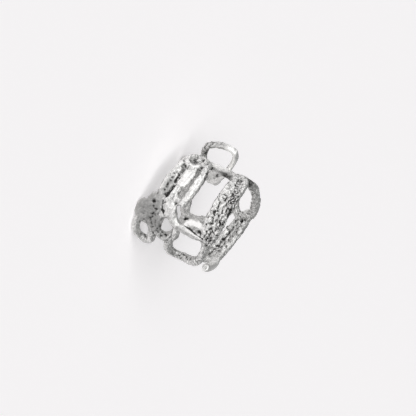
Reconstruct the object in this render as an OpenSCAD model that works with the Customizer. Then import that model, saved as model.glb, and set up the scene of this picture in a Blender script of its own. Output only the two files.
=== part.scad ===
// Wide openwork finger ring, cast in silver as one piece.
// Long irregular links lie round the finger, overlap and run into each other, and one stands off the band.
// The finger's axis is +Z and the ring stands on its open end at z = 0. The front of the band faces -Y.
// A place on the band is a turn in degrees round the finger from the front, towards -X, and a height above z = 0.

/* [Finger] */
// Inner diameter of the ring
finger_d = 17.5; // [16:0.1:20]
// Thickness of the metal, from the finger outwards
metal_t = 1.6; // [1.3:0.1:2]

/* [Links] */
// Width of a strand next to the width in the table of links
strand_scale = 1; // [0.9:0.05:1.1]
// Height of the hammered lumps on the strands
crumple = 0.1; // [0:0.02:0.16]
// Longest step between two sections of a strand
section_step = 1.25; // [1.2:0.1:2]

/* [Raised link] */
// Turn at which the raised link leaves the finger in a straight line
peel_turn = 134; // [126:1:142]

/* [Hidden] */

metal_colour = [0.77, 0.77, 0.76];
inner_r = finger_d / 2;
middle_r = inner_r + metal_t / 2;
mm_per_degree = middle_r * PI / 180;
full_turn = 360;
never = -full_turn;

// One row for each closed link. The first two columns place its middle. Around and across are the
// length and width of its centre line, before lean turns it. Taper widens the end at the greater turn,
// skew slants both ends, waist pinches the long sides, and bow bends them both upwards. Corner is 1 for
// an oval and smaller for squarer corners. Lift holds it off the finger and strand is its metal's width.
//    turn  height around across lean  taper  skew  waist  bow  corner lift strand
LINKS = [
    [  23,  11.5,  16.6,  9.3,   -1, -0.14, -0.08, 0.29,  1.7, 0.50, 0.25, 1.60], // great front link
    [  20,  16.6,  15.6,  2.5,    0,  0.00,  0.00, 0.00,  0.0, 0.60, 0.35, 1.60], // squeezed link of the thick bar
    [ 125,  15.6,  12.4,  4.1,    2,  0.30,  0.00, 0.00,  0.0, 0.70, 0.00, 1.70], // rim behind the raised link
    [ 196,  15.6,  14.0,  2.2,  -11,  0.30,  0.00, 0.00, -0.5, 0.70, 0.10, 1.40], // folded back rim
    [ -51,  12.3,  12.9,  7.2,   18,  0.00,  0.00, 0.00,  0.0, 0.95, 0.00, 1.60], // lower front link
    [ -34,   7.5,   5.3,  4.4,    0,  0.00,  0.00, 0.00,  0.0, 0.85, 0.05, 1.50], // small eye
    [ -54,   2.7,   7.4,  3.8,    0,  0.00,  0.00, 0.00,  0.0, 0.95, 0.00, 1.60], // heel loop
    [  38,   5.5,  13.6,  2.7,    3, -0.25,  0.00, 0.00,  0.0, 0.70, 0.10, 1.35], // left link
    [  31,   8.0,   9.8,  3.0,    2,  0.00,  0.00, 0.00,  0.0, 0.70, 0.10, 1.35], // slot link
    [  62,   6.5,   4.8,  3.4,   10,  0.00,  0.00, 0.00,  0.0, 0.90, 0.40, 1.25], // knuckle
    [ 144,   7.9,  15.6,  8.7,   -9, -0.09, -0.20, 0.00,  0.0, 0.70, 0.00, 1.50], // great back link
    [ 229,   8.9,  11.4,  7.6,   13,  0.00,  0.00, 0.00,  0.0, 0.75, 0.00, 1.50], // lower back link
    [ 198,   2.7,  10.2,  4.2,    2,  0.00,  0.00, 0.00,  0.0, 0.70, 0.00, 1.30], // back foot
    [ 141,   2.4,   9.0,  3.4,   -1,  0.00,  0.00, 0.00,  0.0, 0.75, 0.00, 1.50], // side foot
];
TURN = 0;
HEIGHT = 1;
AROUND = 2;
ACROSS = 3;
LEAN = 4;
TAPER = 5;
SKEW = 6;
WAIST = 7;
BOW = 8;
CORNER = 9;
LIFT = 10;
STRAND = 11;

// The raised link has the same columns.
RAISED = [103, 8.3, 10.2, 5.8, -5, -0.45, -0.35, 0, 0, 0.75, 0, 1.1];

// One row for each open strand, which runs straight from its first place to its last.
//    turn, height, to_turn, to_height, width, thickness, lift
BARS = [
    [-40,  2.6, -12,  2.6, 5.3, 1.45, 0.00], // closed plate beside the heel loop
    [-26,  3.2,   1,  4.9, 4.5, 1.36, 0.16], // slanted end of that plate
    [ -8,  4.0,  34,  5.2, 2.8, 0.80, 0.05], // plate seen through the left link
    [-25, 16.6,  66, 16.6, 2.2, 1.56, 0.04], // metal in the crease of the thick bar
    [170, 16.3, 232, 14.3, 1.5, 0.90, 0.15], // metal in the fold of the back rim
    [226, 15.7, 270, 16.0, 1.9, 1.50, 0.10], // blunt rim end
    [-45,  4.9, -18,  5.3, 2.5, 1.52, 0.05], // metal between the plate, the heel loop and the small eye
    [-15,  7.2,   2,  6.3, 2.8, 1.46, 0.12], // broad corner of the great front link
    [116,  8.5, 138,  7.9, 3.0, 1.10, 0.30], // closed narrow end of the raised link
    [ 18,  7.3,  47,  7.5, 1.8, 1.42, 0.21], // broad strip between the left link and the slot
];
TO_TURN = 2;
TO_HEIGHT = 3;
WIDTH = 4;
THICK = 5;
BAR_LIFT = 6;

// One row for each place where two strands have run together, from one strand to the other.
//    turn, height, to_turn, to_height, diameter
WEBS = [
    [-34,  4.3, -44,  5.0, 1.4], // heel loop to small eye
    [-28,  9.4, -36,  9.4, 1.4], // small eye to lower front link
    [-14,  7.0,  -8,  7.6, 1.4], // great front link's corner to small eye
    [-30, 15.6, -24, 17.0, 1.4], // lower front link to thick bar
    [ 66,  7.2,  72,  8.2, 1.4], // knuckle to great front link
    [ 68, 15.6,  86, 15.6, 1.4], // thick bar to rim
    [ 91, 11.0,  92, 14.6, 1.4], // raised link to rim
    [185,  8.4, 193,  8.4, 1.4], // great back link to lower back link
    [228, 14.2, 236, 13.2, 1.4], // back rim to lower back link
    [261, 12.0, 272, 11.6, 1.2], // lower back link to lower front link
];
WEB_D = 4;

// One row for each small round pit in the cast metal.
//    turn, height, distance out from the finger, diameter
PITS = [
    [-10,  3.4, 1.55, 1.0], // in the plate beside the heel loop
    [124,  8.6, 0.25, 1.0], // on the inside of the raised link's narrow end
];
OUT = 2;
PIT_D = 3;

// One row for each notch through the edge of a strand, from one place to another.
//    turn, height, to_turn, to_height, width
NOTCHES = [
    [ -6,  8.80, -18, 10.2, 1.5], // opens the great front link towards its corner
];
NOTCH_W = 4;

section_sides = 8;
web_sides = 8;
bar_end_share = 0.4;
lump_waves = [3, 5, 8];
lump_shares = [0.5, 0.3, 0.2];
link_phase = 116.1;

function unit(v) = v / norm(v);
function shaped(c, p) = sign(c) * pow(abs(c), p);

// A point's place, outward direction and depth, from its distance round the band, its height and its
// distance out from the finger. Past the peel turn it leaves the finger along the tangent.
function outward(a, peel) =
    let (turn = max(a / mm_per_degree, peel))
    [-sin(turn), -cos(turn), 0];
function tangent(peel) = [cos(peel), -sin(peel), 0];
function place(a, h, out, peel) =
    let (past = max(0, peel * mm_per_degree - a))
    outward(a, peel) * (inner_r + out) + past * tangent(peel) + [0, 0, h];

// The centre line of a link at angle t round it, as distance round the band and height.
function link_point(row, t) =
    let (x = shaped(cos(t), row[CORNER]),
         y = shaped(sin(t), row[CORNER]) * (1 + row[TAPER] * x) * (1 - row[WAIST] * (1 - x * x)),
         up = row[ACROSS] / 2 * y + row[BOW] * (1 - x * x),
         along = row[AROUND] / 2 * x + row[SKEW] * up)
    [row[TURN] * mm_per_degree + along * cos(row[LEAN]) - up * sin(row[LEAN]),
     row[HEIGHT] + along * sin(row[LEAN]) + up * cos(row[LEAN])];

// Soft lumps between -1 and 1, different on each strand and the same every time.
function lumps(t, seed) =
    let (parts = [for (i = [0 : len(lump_waves) - 1])
        lump_shares[i] * sin(lump_waves[i] * t + link_phase * seed * (i + 1))])
    parts * [for (p = parts) 1];

// One section of a strand: a flattened octagon whose back lies at the given depth from the finger.
function section(p, out_dir, side_dir, width, thick) =
    [for (k = [0 : section_sides - 1])
        let (t = (k + 0.5) * full_turn / section_sides,
             stretch = 1 / cos(full_turn / section_sides / 2))
        p + side_dir * width / 2 * stretch * shaped(cos(t), 0.8)
          + out_dir * thick / 2 * (1 + stretch * sin(t))];

function closed_sections(row, seed, peel) =
    let (n = ceil(2 * (row[AROUND] + row[ACROSS]) / section_step),
         flat = [for (i = [0 : n - 1]) link_point(row, i * full_turn / n)],
         solid = [for (p = flat) place(p[0], p[1], row[LIFT], peel)])
    [for (i = [0 : n - 1])
        let (out_dir = outward(flat[i][0], peel),
             run = solid[(i + 1) % n] - solid[(i + n - 1) % n],
             side_dir = unit(cross(run, out_dir)),
             t = i * full_turn / n)
        section(solid[i], out_dir, side_dir,
                row[STRAND] * strand_scale * (1 + crumple * lumps(t, seed)),
                metal_t * (1 + crumple * lumps(t + full_turn / 4, seed + 0.5)))];

function open_sections(row, seed) =
    let (from = [row[TURN] * mm_per_degree, row[HEIGHT]],
         to = [row[TO_TURN] * mm_per_degree, row[TO_HEIGHT]],
         n = ceil(norm(to - from) / section_step),
         step = (to - from) / n)
    [for (i = [0 : n])
        let (p = from + step * i,
             out_dir = outward(p[0], never),
             run = place(p[0] + step[0], p[1] + step[1], 0, never)
                 - place(p[0] - step[0], p[1] - step[1], 0, never),
             side_dir = unit(cross(run, out_dir)),
             t = i * full_turn / n,
             end_share = sqrt(1 - (1 - bar_end_share) * pow(2 * i / n - 1, 4)))
        section(place(p[0], p[1], row[BAR_LIFT], never), out_dir, side_dir,
                row[WIDTH] * strand_scale * end_share * (1 + crumple / 2 * lumps(t, seed)),
                row[THICK])];

// A solid through the sections in order, closed on itself or capped at its two ends.
module sweep(sections, closed) {
    n = len(sections);
    m = section_sides;
    rings = closed ? n : n - 1;
    sides = [for (i = [0 : rings - 1], k = [0 : m - 1], half = [0, 1])
        let (j = (i + 1) % n, l = (k + 1) % m)
        half == 0 ? [i * m + k, i * m + l, j * m + l] : [i * m + k, j * m + l, j * m + k]];
    caps = closed ? [] : [[for (k = [m - 1 : -1 : 0]) k], [for (k = [0 : m - 1]) (n - 1) * m + k]];
    polyhedron([for (s = sections) each s], concat(sides, caps));
}

module web(row) {
    ends = [[row[TURN], row[HEIGHT]], [row[TO_TURN], row[TO_HEIGHT]]];
    hull()
        for (e = ends)
            translate(place(e[0] * mm_per_degree, e[1], metal_t / 2, never))
                sphere(d = row[WEB_D], $fn = web_sides);
}

module pit(row) {
    translate(place(row[TURN] * mm_per_degree, row[HEIGHT], row[OUT], never))
        sphere(d = row[PIT_D], $fn = web_sides);
}

module notch(row) {
    beyond = 1;
    ends = [[row[TURN], row[HEIGHT]], [row[TO_TURN], row[TO_HEIGHT]]];
    hull()
        for (e = ends)
            translate(place(e[0] * mm_per_degree, e[1], -beyond, never))
                rotate([90, 0, -e[0]])
                    cylinder(h = metal_t + 2 * beyond, d = row[NOTCH_W], $fn = web_sides);
}

// Everything below the surface that the ring stands on, where its lowest links are rubbed flat.
module below_table() {
    reach = 4 * finger_d;
    translate([-reach / 2, -reach / 2, -reach])
        cube(reach);
}

module ring() {
    color(metal_colour) difference() {
        union() {
            for (i = [0 : len(LINKS) - 1])
                sweep(closed_sections(LINKS[i], i, never), true);
            sweep(closed_sections(RAISED, len(LINKS), peel_turn), true);
            for (i = [0 : len(BARS) - 1])
                sweep(open_sections(BARS[i], i), false);
            for (row = WEBS)
                web(row);
        }
        for (row = PITS)
            pit(row);
        for (row = NOTCHES)
            notch(row);
        below_table();
    }
}

ring();
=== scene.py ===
"""Openwork silver ring: the cast metal, its silver and the studio floor."""

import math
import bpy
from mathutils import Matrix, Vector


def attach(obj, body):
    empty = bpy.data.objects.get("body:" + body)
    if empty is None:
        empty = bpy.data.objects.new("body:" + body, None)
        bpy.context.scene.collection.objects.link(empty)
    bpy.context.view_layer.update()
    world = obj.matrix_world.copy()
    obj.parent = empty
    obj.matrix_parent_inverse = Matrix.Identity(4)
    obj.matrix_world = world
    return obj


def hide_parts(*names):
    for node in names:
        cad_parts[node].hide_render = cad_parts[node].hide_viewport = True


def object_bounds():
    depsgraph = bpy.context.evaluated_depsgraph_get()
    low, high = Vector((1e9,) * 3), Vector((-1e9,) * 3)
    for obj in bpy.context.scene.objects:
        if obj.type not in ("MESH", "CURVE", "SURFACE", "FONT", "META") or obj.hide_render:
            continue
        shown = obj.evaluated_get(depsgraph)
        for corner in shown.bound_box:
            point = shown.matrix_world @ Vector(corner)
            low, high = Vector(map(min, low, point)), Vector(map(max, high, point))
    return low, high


bl_info = {
    "name": "Openwork Silver Ring",
    "version": (1, 0, 0),
    "blender": (4, 5, 0),
    "location": "View3D > Sidebar > Ring",
    "description": "Finishes an openwork cast silver ring and sets it on a studio floor",
    "category": "Add Mesh",
}

import bmesh
import bpy
import numpy as np
from bpy.props import FloatProperty, FloatVectorProperty, IntProperty, PointerProperty
from mathutils import Matrix, Vector, noise

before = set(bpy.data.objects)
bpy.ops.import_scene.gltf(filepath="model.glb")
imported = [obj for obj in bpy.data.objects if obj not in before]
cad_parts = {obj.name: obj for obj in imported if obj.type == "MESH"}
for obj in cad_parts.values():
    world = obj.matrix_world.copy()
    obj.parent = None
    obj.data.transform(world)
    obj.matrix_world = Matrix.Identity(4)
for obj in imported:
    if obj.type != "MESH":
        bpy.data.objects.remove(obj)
CAD_LOW, CAD_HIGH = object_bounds()

NODE = "ring"
BODY = "root"
METAL = "ring_metal"

MM = 0.001
CRUMPLE_STRETCH = (0.6, 1.0, 1.1)  # the crumples are longer along the first axis
RIDGE_RADIUS = 9.0  # mm from the finger's axis: what lies further out is the outside of the band
ZONE_EDGE = 1.5  # how sharply a zone of the finish and of the painted light and shade ends
FOLD_REACH = 10  # how many points away the surface is compared with to find its folds and edges

# Names of the masks that the mesh carries for the look of its silver
WHITE = "white"
FOIL = "foil"
FOLD = "fold"
EDGE = "edge"
MATTE_AND_SHADE = "matte_and_shade"
DARK = "dark"

# The middles of the links' openings: degrees round the finger from the front, height and distance from
# the finger's axis in mm, how far their walls lie from the middle round and up in mm, and how dark
# they are. The inner walls that face these middles get painted shade.
INSIDES = (
    # turn, height, from axis, round, up, dark
    (103, 8.3, 14.0, 5.2, 3.2, 0.75),  # raised link
    (-54, 2.7, 9.5, 3.2, 1.6, 0.2),  # heel loop
    (-34, 7.5, 9.5, 2.6, 2.0, 0.3),  # small eye
    (-51, 12.3, 9.5, 6.4, 3.6, 0.35),  # lower front link
    (23, 12.6, 9.5, 8.3, 4.0, 0.4),  # great front link
    (120, 13.0, 9.5, 6.0, 2.6, 0.4),  # opening behind the thick bar
    (46, 11.8, 9.5, 4.5, 3.0, 0.75),  # upper end of the great front link
)

# Where the finish and the painted light and shade change on the band: degrees round the finger from the
# front, height in mm, how far the zone reaches round and up in mm, then how white (rubbed bright, and
# painted highlight), how crumpled like foil, how matte (a dull finish, and dimmed as painted shade) and
# how dark (painted shade) it is.
ZONES = (
    # turn, height, round, up, white, foil, matte, dark
    (-20, 2.4, 4.6, 2.6, 0.0, 0.05, 0.9, 0.0),  # plate beside the heel loop
    (-17, 4.3, 2.2, 0.9, 0.0, 0.3, 0.9, 0.3),  # its side along the rubbed corner, darkened with painted shade
    (-31, 4.4, 2.8, 1.6, 0.0, 0.2, 1.0, 0.35),  # its end, darkened with painted shade
    (-58, 2.4, 4.0, 2.6, 0.15, 0.5, 0.0, 0.0),  # heel loop
    (-40, 7.2, 3.0, 2.2, 0.0, 0.5, 0.6, 0.1),  # small eye
    (-62, 12.0, 5.0, 6.0, 0.1, 0.8, 0.0, 0.0),  # lower front link
    (-6, 6.8, 2.2, 1.5, 0.45, 0.6, 0.0, 0.0),  # rubbed corner of the great front link
    (-24, 12.0, 1.6, 4.6, 0.9, 0.0, 0.0, 0.0),  # its smooth lower bar, rubbed bright and whitened as a painted highlight
    (-23.5, 7.8, 0.75, 1.6, 0.1, 0.0, 0.45, 0.0),  # dull outer side of that bar, low
    (-26, 10.3, 0.75, 1.8, 0.1, 0.0, 0.45, 0.0),  # the same, middle
    (-28.7, 12.8, 0.75, 1.8, 0.1, 0.0, 0.45, 0.0),  # the same, higher
    (-32, 15.2, 0.8, 1.6, 0.1, 0.0, 0.45, 0.0),  # the same, at its end
    (-14.3, 13.6, 0.6, 2.4, 1.0, 0.0, 0.0, 0.0),  # bright strip inside the great front link, a painted highlight
    (-20, 14.2, 0.7, 1.8, 0.1, 0.8, 0.3, 0.0),  # crumpled metal under it
    (20, 9.7, 7.5, 0.9, 0.35, 0.8, 0.0, 0.0),  # left side of the great front link
    (74, 11.4, 1.7, 3.3, 0.8, 0.1, 0.0, 0.0),  # its upper end
    (67, 11.8, 0.7, 2.6, 0.0, 0.2, 0.5, 0.4),  # inner side of that end, darkened with painted shade
    (98, 11.2, 5.0, 1.5, 0.8, 0.1, 0.0, 0.0),  # bright leg of the raised link, a painted highlight
    (103, 6.4, 5.5, 3.0, 0.0, 0.9, 0.4, 0.35),  # the rest of the raised link, darkened with painted shade
    (22, 17.0, 9.0, 2.6, 0.15, 1.0, 0.0, 0.0),  # thick bar
    (32, 18.1, 3.4, 0.8, 0.0, 1.0, 0.0, 0.45),  # edge of the thick bar turned from the light, high, darkened with painted shade
    (14, 18.5, 2.4, 0.9, 0.0, 1.0, 0.0, 0.55),  # the same, middle
    (-2, 18.2, 2.2, 0.7, 0.0, 1.0, 0.0, 0.4),  # the same, low
    (7.5, 15.8, 1.0, 0.6, 0.0, 1.0, 0.0, 0.35),  # dark patch on its other side
    (-15, 16.6, 1.4, 0.9, 0.0, 1.0, 0.0, 0.3),  # dark patch at its foot
    (-25, 17.0, 2.5, 2.0, 0.0, 1.0, 0.0, 0.1),  # foot of the thick bar
    (38, 5.5, 8.0, 2.2, 0.2, 0.8, 0.0, 0.0),  # left link
    (12, 4.8, 2.6, 0.8, 0.0, 0.3, 0.7, 0.3),  # dull metal in the slot of the left link, darkened with painted shade
    (32, 7.2, 3.0, 0.9, 0.7, 0.5, 0.0, 0.0),  # broad strip beside the slot
    (61, 6.4, 2.6, 2.2, 0.2, 0.7, 0.0, 0.0),  # knuckle
    (57, 6.5, 0.9, 0.8, 0.0, 0.3, 0.0, 1.0),  # hole in the knuckle, darkened with painted shade
    (130, 8.0, 3.0, 2.5, 0.4, 0.6, 0.0, 0.0),  # narrow end of the raised link
    (118, 8.6, 3.4, 3.2, 1.0, 1.0, 0.0, 0.0),  # metal seen through the great front link, whitened as a painted highlight
    (117.3, 8.95, 0.45, 0.35, 0.0, 0.5, 0.0, 0.9),  # pit in it, darkened with painted shade
    (125, 16.0, 9.0, 3.0, 0.2, 0.9, 0.0, 0.0),  # rim behind the raised link
    (86, 17.0, 2.6, 1.6, 0.0, 0.5, 0.3, 0.7),  # dark patch where that rim leaves the thick bar
    (200, 15.0, 9.0, 2.2, 0.15, 0.9, 0.0, 0.0),  # folded back rim
    (250, 16.0, 3.6, 1.8, 0.8, 0.1, 0.1, 0.0),  # blunt rim end
)
PLAIN = (0.0, 0.25, 0.1, 0.0)

# Narrow furrows where two strands meet, cut into the metal and darkened with painted shade, from one
# place to another, with their width in mm and how deep and dark they are, from 0 to 1.
FURROWS = (
    # turn, height, to_turn, to_height, width, depth
    (-20.5, 10.6, -25.5, 15.8, 0.13, 1.0),  # between the lower bar and the metal inside it
    (15, 8.3, 42, 8.7, 0.25, 1.0),  # slot beside the great front link
    (20, 5.5, 45, 5.4, 0.18, 0.8),  # slot of the left link
    (3, 6.9, -8.5, 5.4, 0.2, 0.4),  # outline of the rubbed corner against the plate
    (-8.5, 5.4, -14.5, 5.5, 0.2, 0.5),  # the same, round its tip
    (-14.5, 5.5, -19.5, 6.6, 0.2, 0.6),  # the same, along the lower bar
)

# Lumps of metal that fill small gaps between strands: where the middle is, as above, then half of the
# lump's size round, up and out in mm.
LUMPS = (
    # turn, height, from axis, round, up, out
    (-19.3, 13.8, 9.5, 0.75, 1.9, 0.7),  # between the lower bar and the bright strip
    (22, 4.8, 9.65, 3.4, 1.0, 0.55),  # behind the slot of the left link
    (7, 5.0, 9.55, 1.5, 0.9, 0.55),  # behind its lower end
)

# The stage: what the camera looks at, where the light comes from that throws the shadow, and where the
# room is brightest in reflections, the last two as directions from the ring.
AIM = Vector((-1.5, 0, 11.3)) * MM
KEY_FROM = Vector((-0.12, -0.79, 0.5))
LIGHT_FROM = Vector((-0.64, -0.72, 0.26)).normalized()

# How bright the room is in reflections, from straight away from the brightest side, at 0, to straight
# towards it, at 1.
ROOM_LIGHT = ((0.0, 0.5), (0.3, 0.27), (0.5, 0.11), (0.64, 0.22), (0.84, 0.95), (1.0, 1.7))


class MetalSettings(bpy.types.PropertyGroup):
    """How the ring's metal is shaped on top of the cast links."""

    grain: FloatProperty(
        name="Mesh grain",
        description="Spacing of the fine mesh that carries the hammered skin",
        default=0.163 * MM,
        min=0.1 * MM,
        unit="LENGTH",
    )
    smooth_passes: IntProperty(
        name="Smoothing passes",
        description="How often the facets of the cast links are averaged out",
        default=14,
        min=0,
    )
    dent_height: FloatProperty(
        name="Dent height",
        description="Height of the broad hammered dents",
        default=0.09 * MM,
        unit="LENGTH",
    )
    dent_size: FloatProperty(
        name="Dent size",
        description="Distance from one broad dent to the next",
        default=1.5 * MM,
        unit="LENGTH",
    )
    foil_height: FloatProperty(
        name="Crease height",
        description="Height of the sharp creases where the metal is crumpled like foil",
        default=0.28 * MM,
        unit="LENGTH",
    )
    foil_size: FloatProperty(
        name="Crease size",
        description="Distance from one sharp crease to the next",
        default=1.1 * MM,
        unit="LENGTH",
    )
    seed: IntProperty(
        name="Crumple seed",
        description="Another number gives other crumples",
        default=4,
        min=1,
    )
    furrow_depth: FloatProperty(
        name="Furrow depth",
        description="Depth of the narrow furrows where two strands meet",
        default=0.16 * MM,
        unit="LENGTH",
    )
    sand_height: FloatProperty(
        name="Sand height",
        description="Height of the cast grain on the dull parts",
        default=0.075 * MM,
        unit="LENGTH",
    )
    sand_size: FloatProperty(
        name="Sand size",
        description="Distance from one grain to the next",
        default=0.42 * MM,
        unit="LENGTH",
    )


class SilverSettings(bpy.types.PropertyGroup):
    """Colours and gloss of the silver."""

    # The colour of rubbed silver, and of the painted highlights on the white zones and edges
    bright: FloatVectorProperty(
        name="Rubbed and Highlit silver",
        description="Colour of the silver where it is rubbed bright",
        subtype="COLOR",
        size=3,
        default=(0.98, 0.975, 0.96),
    )
    dull: FloatVectorProperty(
        name="Cast silver",
        description="Colour of the silver as it was cast",
        subtype="COLOR",
        size=3,
        default=(0.48, 0.48, 0.47),
    )
    # The dark colour of tarnish and of the painted shade in folds, creases, furrows, recesses and dark
    # zones; it also dims matte parts
    shade_and_tarnish: FloatVectorProperty(
        name="Shade and Tarnish",
        description="Colour of the darkened silver in the folds",
        subtype="COLOR",
        size=3,
        default=(0.045, 0.044, 0.042),
    )
    bright_roughness: FloatProperty(
        name="Rubbed roughness",
        description="Roughness of the rubbed silver",
        default=0.14,
        subtype="FACTOR",
        min=0,
        max=1,
    )
    dull_roughness: FloatProperty(
        name="Cast roughness",
        description="Roughness of the cast silver",
        default=0.3,
        subtype="FACTOR",
        min=0,
        max=1,
    )
    crease_size: FloatProperty(
        name="Crease size",
        description="Distance from one fine dark crease to the next where the silver is crumpled",
        default=0.75 * MM,
        unit="LENGTH",
    )
    pit_size: FloatProperty(
        name="Pit size",
        description="Size of the finest pits in the silver",
        default=0.22 * MM,
        unit="LENGTH",
    )


class StageSettings(bpy.types.PropertyGroup):
    """The floor, the light and the camera."""

    floor: FloatVectorProperty(
        name="Floor",
        description="Colour of the plain floor",
        subtype="COLOR",
        size=3,
        default=(0.9, 0.885, 0.893),
    )
    glow: FloatProperty(
        name="Floor glow",
        description="Share of the floor's light that comes from below",
        default=0.42,
        min=0,
        max=1,
    )
    elevation: FloatProperty(
        name="Camera elevation",
        description="Angle of the camera above the floor",
        default=math.radians(16),
        subtype="ANGLE",
    )
    roll: FloatProperty(
        name="Camera roll",
        description="Angle from the top of the picture, clockwise, to the ring's axis",
        default=math.radians(115),
        subtype="ANGLE",
    )
    distance: FloatProperty(
        name="Camera distance",
        description="Distance from the camera to the ring",
        default=0.9,
        unit="LENGTH",
    )
    frame_width: FloatProperty(
        name="Frame width",
        description="Width of the picture at the ring",
        default=83.2 * MM,
        unit="LENGTH",
    )
    key_strength: FloatProperty(
        name="Key light",
        description="Strength of the soft key light that throws the ring's shadow",
        default=2.27,
        min=0,
    )
    key_spread: FloatProperty(
        name="Key spread",
        description="Width of the key light as seen from the ring",
        default=math.radians(48),
        subtype="ANGLE",
    )
    fill: FloatProperty(
        name="Fill light",
        description="Strength of the even light all round",
        default=0.205,
        min=0,
    )


def dent_field(points, size, seed):
    """Smooth noise between about -1 and 1 at each point, with dents of the given size.

    Each seed takes another part of the noise.
    """
    shift = Vector((seed * 7.3, seed * 3.1, seed * 5.7))
    return np.array([noise.noise(Vector(p) / size + shift) for p in points])


def crease_field(points, size, seed):
    """Tilted facets with narrow furrows between them, between about -1 and 1, like crumpled foil.

    The facets are longer across the front of the band, which is how the thick bar was squeezed.
    """
    stretch = Vector(CRUMPLE_STRETCH)
    shift = Vector((seed * 2.9, seed * 8.3, seed * 4.1))
    furrow_width, furrow_depth, facet_tilt = 0.16, 0.55, 1.1
    bend, bend_scale, cell_scale = 0.5, 0.8, 3.7
    values = np.empty(len(points))
    for i, p in enumerate(points):
        q = Vector(p) * stretch / size + shift
        q += bend * Vector(noise.noise_vector(q * bend_scale))
        gaps, cells = noise.voronoi(q)
        tilt = Vector(noise.cell_vector(cells[0] * cell_scale + shift)) * 2 - Vector((1, 1, 1))
        furrow = max(0, 1 - (gaps[1] - gaps[0]) / furrow_width)
        values[i] = facet_tilt * (q - cells[0]).dot(tilt) - furrow_depth * furrow
    return values


def band_offsets(points, degrees, height):
    """How far each point lies round and up from a place on the band, in mm."""
    radius = np.hypot(points[:, 0], points[:, 1])
    turn = np.arctan2(-points[:, 0], -points[:, 1]) - math.radians(degrees)
    turn = (turn + math.pi) % (2 * math.pi) - math.pi
    return turn * radius / MM, points[:, 2] / MM - height


def zone_masks(points):
    """How white (wear and painted highlight), how foil-like, how matte (dull, and painted shade) and
    how dark (painted shade) the metal is at each point, from 0 to 1.
    """
    finish = np.tile(PLAIN, (len(points), 1))
    for degrees, height, reach_round, reach_up, *wanted in ZONES:
        along, up = band_offsets(points, degrees, height)
        weight = np.exp(-(((along / reach_round) ** 2 + (up / reach_up) ** 2) ** ZONE_EDGE))[:, None]
        finish = finish * (1 - weight) + np.array(wanted) * weight
    return finish.T


def furrow_mask(points):
    """How deep each point lies in one of the narrow furrows on the outside of the band, from 0 to 1."""
    mask = np.zeros(len(points))
    for degrees, height, to_degrees, to_height, width, depth in FURROWS:
        along, up = band_offsets(points, degrees, height)
        radius = np.hypot(points[:, 0], points[:, 1]) / MM
        run_round = math.radians(to_degrees - degrees) * radius
        run = np.stack((run_round, np.full_like(radius, to_height - height)), 1)
        place = np.stack((along, up), 1)
        share = np.clip((place * run).sum(1) / (run**2).sum(1), 0, 1)
        gap = np.linalg.norm(place - share[:, None] * run, axis=1)
        outside = radius > RIDGE_RADIUS
        mask = np.maximum(mask, depth * np.exp(-((gap / width) ** 2)) * outside)
    return mask


def wall_mask(points, normals):
    """How much painted shade each point gets on an inner wall of a link, from 0 to 1."""
    facing_gain, facing_loss = 1.6, 0.3
    wall_reach, depth_reach = 1.7, 3.5 * MM
    dark = np.zeros(len(points))
    for degrees, height, out, reach_round, reach_up, amount in INSIDES:
        turn = math.radians(degrees)
        outwards = np.array((-math.sin(turn), -math.cos(turn), 0))
        sideways = np.array((-math.cos(turn), math.sin(turn), 0))
        away = points - (outwards * out + np.array((0, 0, height))) * MM
        round_share = away @ sideways / (reach_round * MM)
        up_share = away[:, 2] / (reach_up * MM)
        inwards = -round_share[:, None] * sideways / reach_round
        inwards -= up_share[:, None] * np.array((0, 0, 1)) / reach_up
        inwards /= np.linalg.norm(inwards, axis=1)[:, None] + 1e-9
        facing = np.einsum("ij,ij->i", inwards, normals)
        facing = np.clip(facing * facing_gain - facing_loss, 0, 1)
        near = np.exp(-((round_share**2 + up_share**2) / wall_reach) ** 3)
        near *= np.exp(-((away @ outwards / depth_reach) ** 4))
        dark = np.maximum(dark, amount * facing * near)
    return dark


def neighbour_mean(values, edges, counts):
    """Average of the values at each point's neighbours."""
    total = np.zeros_like(values)
    np.add.at(total, edges[:, 0], values[edges[:, 1]])
    np.add.at(total, edges[:, 1], values[edges[:, 0]])
    return total / counts.reshape((-1,) + (1,) * (values.ndim - 1))


def read_points(mesh):
    """The places of a mesh's points, one row each."""
    points = np.empty(len(mesh.vertices) * 3, np.float64)
    mesh.vertices.foreach_get("co", points)
    return points.reshape(-1, 3)


def read_normals(mesh):
    """The directions in which a mesh faces at its points, one row each."""
    normals = np.empty(len(mesh.vertices) * 3, np.float64)
    mesh.vertices.foreach_get("normal", normals)
    return normals.reshape(-1, 3)


def read_edges(mesh):
    """The two points of each edge of a mesh."""
    edges = np.empty(len(mesh.edges) * 2, np.int64)
    mesh.edges.foreach_get("vertices", edges)
    return edges.reshape(-1, 2)


def write_points(mesh, points):
    """Moves a mesh's points to new places."""
    mesh.vertices.foreach_set("co", points.astype(np.float32).ravel())
    mesh.update()


def store_mask(mesh, name, values):
    """Keeps one value from 0 to 1 for each point, for the material to read by name."""
    mask = mesh.attributes.new(name, "FLOAT", "POINT")
    mask.data.foreach_set("value", np.clip(values, 0, 1).astype(np.float32))


def add_lumps(mesh):
    """Adds the small lumps of metal to a mesh, for the remesh to run together with it."""
    shape = bmesh.new()
    shape.from_mesh(mesh)
    for degrees, height, out, *reach in LUMPS:
        turn = Matrix.Rotation(-math.radians(degrees), 4, "Z")
        place = Matrix.Translation(Vector((0, -out, height)) * MM)
        size = Matrix.Diagonal((*(Vector((reach[0], reach[2], reach[1])) * MM), 1))
        bmesh.ops.create_icosphere(shape, subdivisions=3, radius=1, matrix=turn @ place @ size)
    shape.to_mesh(mesh)
    shape.free()


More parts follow.
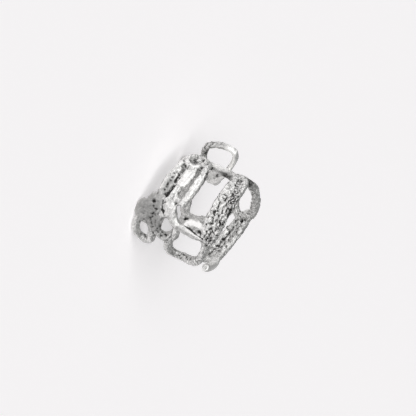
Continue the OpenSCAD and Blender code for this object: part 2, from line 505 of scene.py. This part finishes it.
def fine_copy(node, name, grain):
    """A new object with a fine, even mesh in the shape of a CAD node."""
    piece = bpy.data.objects.new(name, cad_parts[node].data.copy())
    piece.data.materials.clear()
    add_lumps(piece.data)
    bpy.context.scene.collection.objects.link(piece)
    remesh = piece.modifiers.new("fine", "REMESH")
    remesh.mode = "VOXEL"
    remesh.voxel_size = grain
    remesh.use_smooth_shade = True
    bpy.context.view_layer.update()
    depsgraph = bpy.context.evaluated_depsgraph_get()
    mesh = bpy.data.meshes.new_from_object(piece.evaluated_get(depsgraph))
    piece.modifiers.clear()
    piece.data = mesh
    mesh.name = name
    return piece


def even_out(points, edges, counts, passes):
    """Averages out facets without shrinking the links: each pass in is followed by one out."""
    shrink, swell = 0.5, -0.53
    for _ in range(passes):
        for share in (shrink, swell):
            points = points + share * (neighbour_mean(points, edges, counts) - points)
    return points


def fold_mask(points, normals, edges, counts, reach):
    """Hollows and raised edges of the surface, each from 0 to 1, at the scale of the reach."""
    spread = points
    for _ in range(reach):
        spread = neighbour_mean(spread, edges, counts)
    height = np.einsum("ij,ij->i", spread - points, normals)
    scale = np.percentile(np.abs(height), 90)
    return np.clip(height / scale, 0, 1), np.clip(-height / scale, 0, 1)


def shape_metal(settings):
    """The cast metal: the links with hammered dents, foil-like creases and cast grain."""
    noise.seed_set(settings.seed)
    piece = fine_copy(NODE, METAL, settings.grain)
    mesh = piece.data
    edges = read_edges(mesh)
    counts = np.bincount(edges.ravel(), minlength=len(mesh.vertices)).astype(float)
    points = even_out(read_points(mesh), edges, counts, settings.smooth_passes)
    write_points(mesh, points)
    normals = read_normals(mesh)

    white, foil, matte_and_shade, dark = zone_masks(points)
    furrow = furrow_mask(points)
    small_dents, small_creases = 0.5, 0.45  # height of those of half the size, as a share
    rubbed_dents = 0.35  # what is left of the dents where the silver is rubbed smooth
    dents = dent_field(points, settings.dent_size, 1)
    dents += small_dents * dent_field(points, settings.dent_size / 2, 2)
    creases = crease_field(points, settings.foil_size, 3)
    creases += small_creases * crease_field(points, settings.foil_size / 2, 4)
    sand = dent_field(points, settings.sand_size, 5)
    rough = 1 - white
    lift = settings.dent_height * dents * (rubbed_dents + (1 - rubbed_dents) * rough)
    lift += settings.foil_height * creases * foil * rough
    lift += settings.sand_height * sand * rough
    lift -= settings.furrow_depth * furrow
    points = points + normals * lift[:, None]
    points = np.clip(points, np.array(CAD_LOW), np.array(CAD_HIGH))
    write_points(mesh, points)

    # The hollows darken with tarnish and painted shade, the ridges brighten with wear and painted
    # highlight
    hollow, ridge = fold_mask(points, read_normals(mesh), edges, counts, FOLD_REACH)
    # The dark mask is painted shade: the dark zones, the furrows between strands and the inner walls of
    # the links
    store_mask(mesh, DARK, np.maximum(dark + furrow, wall_mask(points, normals)))
    store_mask(mesh, WHITE, white)
    store_mask(mesh, FOIL, foil)
    store_mask(mesh, MATTE_AND_SHADE, matte_and_shade)
    store_mask(mesh, FOLD, hollow)
    store_mask(mesh, EDGE, ridge)
    mesh.shade_smooth()
    return piece


def new_group(name, inputs, outputs):
    """A shader node group with the given sockets, and its input and output nodes."""
    group = bpy.data.node_groups.new(name, "ShaderNodeTree")
    for label, kind, default in inputs:
        socket = group.interface.new_socket(label, in_out="INPUT", socket_type=kind)
        socket.default_value = default
    for label, kind in outputs:
        group.interface.new_socket(label, in_out="OUTPUT", socket_type=kind)
    return group, group.nodes.new("NodeGroupInput"), group.nodes.new("NodeGroupOutput")


def feed(tree, sockets, values):
    """Links each socket to the socket given for it, or sets it to the plain value."""
    for socket, value in zip(sockets, values):
        if isinstance(value, bpy.types.NodeSocket):
            tree.links.new(value, socket)
        else:
            socket.default_value = value


def math_node(tree, operation, *values, clamp=False):
    """A Math node whose inputs are numbers or sockets."""
    node = tree.nodes.new("ShaderNodeMath")
    node.operation = operation
    node.use_clamp = clamp
    feed(tree, node.inputs, values)
    return node.outputs["Value"]


def vector_node(tree, operation, *values):
    """A Vector Math node whose inputs are triples or sockets."""
    node = tree.nodes.new("ShaderNodeVectorMath")
    node.operation = operation
    feed(tree, node.inputs, values)
    return node.outputs["Value" if operation == "DOT_PRODUCT" else "Vector"]


def step_node(tree, value, low, high):
    """A smooth step from 0, where the value is low, to 1, where it is high."""
    node = tree.nodes.new("ShaderNodeMapRange")
    node.interpolation_type = "SMOOTHSTEP"
    node.inputs["From Min"].default_value = low
    node.inputs["From Max"].default_value = high
    tree.links.new(value, node.inputs["Value"])
    return node.outputs["Result"]


def mix_colour(tree, share, *colours):
    """A Mix node between two colours, which are sockets or triples."""
    node = tree.nodes.new("ShaderNodeMix")
    node.data_type = "RGBA"
    tree.links.new(share, node.inputs["Factor"])
    sockets = [socket for socket in node.inputs if socket.type == "RGBA"]
    values = [c if isinstance(c, bpy.types.NodeSocket) else (*c, 1) for c in colours]
    feed(tree, sockets, values)
    return [socket for socket in node.outputs if socket.type == "RGBA"][0]


def noise_node(tree, size, detail=3.0, roughness=0.6):
    """Noise in the object's own space, with grains of the given size in metres."""
    place = tree.nodes.new("ShaderNodeTexCoord")
    node = tree.nodes.new("ShaderNodeTexNoise")
    node.inputs["Scale"].default_value = 1 / size
    node.inputs["Detail"].default_value = detail
    node.inputs["Roughness"].default_value = roughness
    tree.links.new(place.outputs["Object"], node.inputs["Vector"])
    return node.outputs["Fac"]


def mask_node(tree, name):
    """Reads one of the masks that the mesh carries."""
    node = tree.nodes.new("ShaderNodeAttribute")
    node.attribute_name = name
    return node.outputs["Fac"]


def shade_and_tarnish_group():
    """Where silver is darkened with tarnish and painted shade: deep in the folds, creases, furrows and
    recesses, broken up by a cloudy stain.
    """
    group, entry, leave = new_group(
        "Fold Shade and Tarnish",
        [("Fold", "NodeSocketFloat", 0.0), ("Wear and Highlight", "NodeSocketFloat", 0.0)],
        [("Shade and Tarnish", "NodeSocketFloat")],
    )
    stain_size, stain_strength, stain_level = 1.1 * MM, 0.9, -0.25
    first_dark, full_dark = 0.45, 1.15
    stain = noise_node(group, stain_size)
    stain = math_node(group, "MULTIPLY_ADD", stain, stain_strength, stain_level)
    total = math_node(group, "ADD", entry.outputs["Fold"], stain)
    worn_and_highlit = math_node(group, "SUBTRACT", total, entry.outputs["Wear and Highlight"])
    group.links.new(step_node(group, worn_and_highlit, first_dark, full_dark), leave.inputs["Shade and Tarnish"])
    return group


def pits_group():
    """The finest pits and scratches of cast silver, as a height and as a cloudy value."""
    group, entry, leave = new_group(
        "Cast Pits",
        [("Smooth", "NodeSocketFloat", 0.0)],
        [("Height", "NodeSocketFloat"), ("Cloud", "NodeSocketFloat")],
    )
    size = bpy.context.scene.ring_silver.pit_size
    coarse_share = 0.8
    fine = noise_node(group, size, detail=4.0, roughness=0.7)
    coarse = noise_node(group, size * 3, detail=2.0)
    both = math_node(group, "MULTIPLY_ADD", coarse, coarse_share, fine)
    kept = math_node(group, "SUBTRACT", 1.0, entry.outputs["Smooth"])
    cloud = math_node(group, "MULTIPLY", both, 1 / (1 + coarse_share))
    group.links.new(math_node(group, "MULTIPLY", both, kept), leave.inputs["Height"])
    group.links.new(cloud, leave.inputs["Cloud"])
    return group


def creases_group():
    """Fine dark lines of tarnish and painted shade in the creases where the silver is crumpled like
    foil, as a line mask and as a height.
    """
    group, entry, leave = new_group(
        "Foil Creases",
        [("Foil", "NodeSocketFloat", 0.0)],
        [("Line", "NodeSocketFloat"), ("Height", "NodeSocketFloat")],
    )
    size = bpy.context.scene.ring_silver.crease_size
    bend_size, gap_size = size / 0.7, 1.3 * MM
    gap_contrast, gap_level = 2.6, -0.9
    line_edge, line_middle = 0.13, 0.02
    place = group.nodes.new("ShaderNodeTexCoord").outputs["Object"]
    bend = group.nodes.new("ShaderNodeTexNoise")
    bend.inputs["Scale"].default_value = 1 / bend_size
    group.links.new(place, bend.inputs["Vector"])
    centred = vector_node(group, "SUBTRACT", bend.outputs["Color"], (0.5, 0.5, 0.5))
    bent = vector_node(group, "MULTIPLY_ADD", centred, (size, size, size), place)
    cells = group.nodes.new("ShaderNodeTexVoronoi")
    cells.feature = "DISTANCE_TO_EDGE"
    cells.inputs["Scale"].default_value = 1 / size
    group.links.new(vector_node(group, "MULTIPLY", bent, CRUMPLE_STRETCH), cells.inputs["Vector"])
    line = step_node(group, cells.outputs["Distance"], line_edge, line_middle)
    gaps = noise_node(group, gap_size)
    broken = math_node(group, "MULTIPLY_ADD", gaps, gap_contrast, gap_level, clamp=True)
    kept = math_node(group, "MULTIPLY", entry.outputs["Foil"], broken)
    dark = math_node(group, "MULTIPLY", line, kept)
    group.links.new(dark, leave.inputs["Line"])
    group.links.new(math_node(group, "MULTIPLY", dark, -1.0), leave.inputs["Height"])
    return group


def place_group(tree, group):
    """Places a node group in a material."""
    node = tree.nodes.new("ShaderNodeGroup")
    node.node_tree = group
    return node


def silver_material(settings):
    """Cast silver: dull and pitted, dark in the folds with tarnish and painted shade, and bright on
    edges by wear and painted highlight.
    """
    material = bpy.data.materials.new("cast_silver")
    material.use_nodes = True
    tree = material.node_tree
    shader = tree.nodes["Principled BSDF"]
    shader.inputs["IOR"].default_value = 1.5

    white = mask_node(tree, WHITE)
    edge = mask_node(tree, EDGE)
    matte_and_shade = mask_node(tree, MATTE_AND_SHADE)

    # The masks drive the groups: white silver has no pits, and folds, creases and stains are dark, with
    # tarnish and painted shade in the folds, creases, furrows, inner walls and dark zones
    # Wear and painted highlight: the white zones and raised edges are brightened, matte parts less so
    edge_wear_and_highlight, white_wear_and_highlight, matte_wear = 0.7, 0.9, -0.5
    rubbed_and_highlit = math_node(tree, "MULTIPLY", white, white_wear_and_highlight)
    rubbed_and_highlit = math_node(tree, "MULTIPLY_ADD", edge, edge_wear_and_highlight, rubbed_and_highlit)
    wear_and_highlight = math_node(tree, "MULTIPLY_ADD", matte_and_shade, matte_wear, rubbed_and_highlit, clamp=True)
    pits = place_group(tree, pits_group())
    tree.links.new(white, pits.inputs["Smooth"])
    creases = place_group(tree, creases_group())
    tree.links.new(mask_node(tree, FOIL), creases.inputs["Foil"])
    shade_and_tarnish = place_group(tree, shade_and_tarnish_group())
    line_dark, white_clean = 0.9, 0.8
    fold = mask_node(tree, FOLD)
    folded = math_node(tree, "MULTIPLY_ADD", creases.outputs["Line"], line_dark, fold)
    darkened = math_node(tree, "ADD", mask_node(tree, DARK), folded)
    tree.links.new(darkened, shade_and_tarnish.inputs["Fold"])
    tree.links.new(math_node(tree, "MULTIPLY", white, white_clean), shade_and_tarnish.inputs["Wear and Highlight"])
    shaded_and_stained = shade_and_tarnish.outputs["Shade and Tarnish"]

    # The colour runs in clouds from dull to bright, the bright parts being wear and painted highlight,
    # then to the tarnish and painted shade
    cloud_contrast, cloud_level, matte_dimness = 2.8, 1.25, 0.4
    plain = math_node(tree, "SUBTRACT", wear_and_highlight, cloud_level)
    cloudy = math_node(tree, "MULTIPLY_ADD", pits.outputs["Cloud"], cloud_contrast, plain, clamp=True)
    clean = mix_colour(tree, cloudy, settings.dull, settings.bright)
    # Matte parts are dimmed towards the dark colour: a dull finish, and painted shade
    dimness = math_node(tree, "MULTIPLY", matte_and_shade, matte_dimness)
    dimmed = mix_colour(tree, dimness, clean, settings.shade_and_tarnish)
    colour = mix_colour(tree, shaded_and_stained, dimmed, settings.shade_and_tarnish)
    tree.links.new(colour, shader.inputs["Base Color"])

    # White and edges are frosted by many fine scratches, so they mirror the room less
    metal, edge_frost, white_frost = 0.88, -0.08, -0.35
    bare = math_node(tree, "MULTIPLY_ADD", edge, edge_frost, metal)
    frosted = math_node(tree, "MULTIPLY_ADD", white, white_frost, bare, clamp=True)
    tree.links.new(frosted, shader.inputs["Metallic"])

    matte_roughness, tarnish_roughness = 0.14, 0.25
    span = settings.bright_roughness - settings.dull_roughness
    rough = math_node(tree, "MULTIPLY_ADD", cloudy, span, settings.dull_roughness)
    rough = math_node(tree, "MULTIPLY_ADD", matte_and_shade, matte_roughness, rough)
    rough = math_node(tree, "MULTIPLY_ADD", shaded_and_stained, tarnish_roughness, rough)
    tree.links.new(rough, shader.inputs["Roughness"])

    bump = tree.nodes.new("ShaderNodeBump")
    bump.inputs["Strength"].default_value = 0.8
    bump.inputs["Distance"].default_value = 0.14 * MM
    crease_share = 0.8
    height = pits.outputs["Height"]
    height = math_node(tree, "MULTIPLY_ADD", creases.outputs["Height"], crease_share, height)
    tree.links.new(height, bump.inputs["Height"])
    tree.links.new(bump.outputs["Normal"], shader.inputs["Normal"])
    return material


def floor_material(colour, glow):
    """A pale lit sheet: part of its light comes from below, which keeps the shadows faint."""
    material = bpy.data.materials.new("studio_floor")
    material.use_nodes = True
    shader = material.node_tree.nodes["Principled BSDF"]
    shader.inputs["Base Color"].default_value = (*colour, 1)
    shader.inputs["Emission Color"].default_value = (*colour, 1)
    shader.inputs["Emission Strength"].default_value = glow
    shader.inputs["Roughness"].default_value = 0.9
    shader.inputs["Specular IOR Level"].default_value = 0.1
    return material


def make_floor(colour, glow):
    """The plain floor that the ring stands on, reaching a few metres each way."""
    reach = 6.0
    mesh = bpy.data.meshes.new("floor")
    corners = [(-reach, -reach, 0), (reach, -reach, 0), (reach, reach, 0), (-reach, reach, 0)]
    mesh.from_pydata(corners, [], [(0, 1, 2, 3)])
    floor = bpy.data.objects.new("floor", mesh)
    floor.location.z = CAD_LOW.z
    floor.data.materials.append(floor_material(colour, glow))
    bpy.context.scene.collection.objects.link(floor)


def studio_world(fill):
    """Even light for the floor, and for reflections an uneven room with one bright side."""
    world = bpy.data.worlds.new("studio")
    bpy.context.scene.world = world
    world.use_nodes = True
    tree = world.node_tree
    place = tree.nodes.new("ShaderNodeTexCoord").outputs["Generated"]
    blotch = tree.nodes.new("ShaderNodeTexNoise")
    blotch.inputs["Scale"].default_value = 2.3
    blotch.inputs["Detail"].default_value = 1.0
    tree.links.new(place, blotch.inputs["Vector"])
    strength = 0.9
    uneven = math_node(tree, "MULTIPLY_ADD", blotch.outputs["Fac"], strength, -strength / 2)
    side = math_node(tree, "ADD", vector_node(tree, "DOT_PRODUCT", place, LIGHT_FROM), uneven)
    level = math_node(tree, "MULTIPLY_ADD", side, 0.5, 0.5)  # from 0 to 1 rather than from -1 to 1
    ramp = tree.nodes.new("ShaderNodeValToRGB")
    stops = ramp.color_ramp.elements
    for position, _ in ROOM_LIGHT[1:-1]:
        stops.new(position)
    for stop, (_, value) in zip(stops, ROOM_LIGHT):
        stop.color = (value, value, value, 1)
    tree.links.new(level, ramp.inputs["Fac"])
    glossy = tree.nodes.new("ShaderNodeLightPath").outputs["Is Glossy Ray"]
    colour = mix_colour(tree, glossy, (fill, fill, fill), ramp.outputs["Color"])
    tree.links.new(colour, tree.nodes["Background"].inputs["Color"])


def key_light(towards, strength, spread):
    """A wide soft light far away in the given direction, kept out of the reflections."""
    lamp = bpy.data.lights.new("key", "SUN")
    lamp.angle = spread
    lamp.energy = strength
    light = bpy.data.objects.new("key", lamp)
    light.location = towards.normalized()
    light.rotation_mode = "QUATERNION"
    light.rotation_quaternion = towards.to_track_quat("Z", "Y")
    light.visible_glossy = False
    bpy.context.scene.collection.objects.link(light)


def make_camera(settings):
    """Looks at the ring from above the floor, rolled so that its axis slants down to the right."""
    tilt = settings.elevation
    back = Vector((0, -math.cos(tilt), math.sin(tilt)))
    axis_up = Vector((0, math.sin(tilt), math.cos(tilt)))
    sideways = Vector((-1, 0, 0))
    right = math.sin(settings.roll) * axis_up - math.cos(settings.roll) * sideways
    up = math.cos(settings.roll) * axis_up + math.sin(settings.roll) * sideways
    lens = bpy.data.cameras.new("camera")
    lens.lens = lens.sensor_width * settings.distance / settings.frame_width
    lens.clip_start = 0.01
    lens.clip_end = 20
    camera = bpy.data.objects.new("camera", lens)
    turn = Matrix((right, up, back)).transposed().to_4x4()
    camera.matrix_world = Matrix.Translation(AIM + back * settings.distance) @ turn
    bpy.context.scene.collection.objects.link(camera)
    bpy.context.scene.camera = camera


class RING_OT_metal(bpy.types.Operator):
    """Make the ring's cast metal and its silver"""

    bl_idname = "ring.metal"
    bl_label = "Ring metal"

    def execute(self, context):
        piece = shape_metal(context.scene.ring_metal)
        piece.data.materials.append(silver_material(context.scene.ring_silver))
        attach(piece, BODY)
        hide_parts(NODE)
        return {"FINISHED"}


class RING_OT_stage(bpy.types.Operator):
    """Make the floor, the lights and the camera"""

    bl_idname = "ring.stage"
    bl_label = "Stage"

    def execute(self, context):
        settings = context.scene.ring_stage
        make_floor(settings.floor, settings.glow)
        studio_world(settings.fill)
        key_light(KEY_FROM, settings.key_strength, settings.key_spread)
        make_camera(settings)
        context.scene.view_settings.view_transform = "Standard"
        return {"FINISHED"}


class RING_PT_panel(bpy.types.Panel):
    """Lists the steps that make the ring and its stage"""

    bl_label = "Openwork Ring"
    bl_idname = "RING_PT_panel"
    bl_space_type = "VIEW_3D"
    bl_region_type = "UI"
    bl_category = "Ring"

    def draw(self, context):
        scene = context.scene
        groups = (
            (scene.ring_silver, None),
            (scene.ring_metal, RING_OT_metal.bl_idname),
            (scene.ring_stage, RING_OT_stage.bl_idname),
        )
        for settings, operator in groups:
            box = self.layout.box()
            for name in settings.bl_rna.properties.keys():
                if name not in ("rna_type", "name"):
                    box.prop(settings, name)
            if operator:
                box.operator(operator)


CLASSES = (
    MetalSettings,
    SilverSettings,
    StageSettings,
    RING_OT_metal,
    RING_OT_stage,
    RING_PT_panel,
)


def register():
    """Adds the settings, the steps and the panel."""
    for kind in CLASSES:
        bpy.utils.register_class(kind)
    bpy.types.Scene.ring_metal = PointerProperty(type=MetalSettings)
    bpy.types.Scene.ring_silver = PointerProperty(type=SilverSettings)
    bpy.types.Scene.ring_stage = PointerProperty(type=StageSettings)


def unregister():
    """Takes the settings, the steps and the panel away again."""
    del bpy.types.Scene.ring_stage
    del bpy.types.Scene.ring_silver
    del bpy.types.Scene.ring_metal
    for kind in reversed(CLASSES):
        bpy.utils.unregister_class(kind)


def main():
    """Makes the ring and its stage."""
    register()
    bpy.ops.ring.metal()
    bpy.ops.ring.stage()


if __name__ == "__main__":
    main()
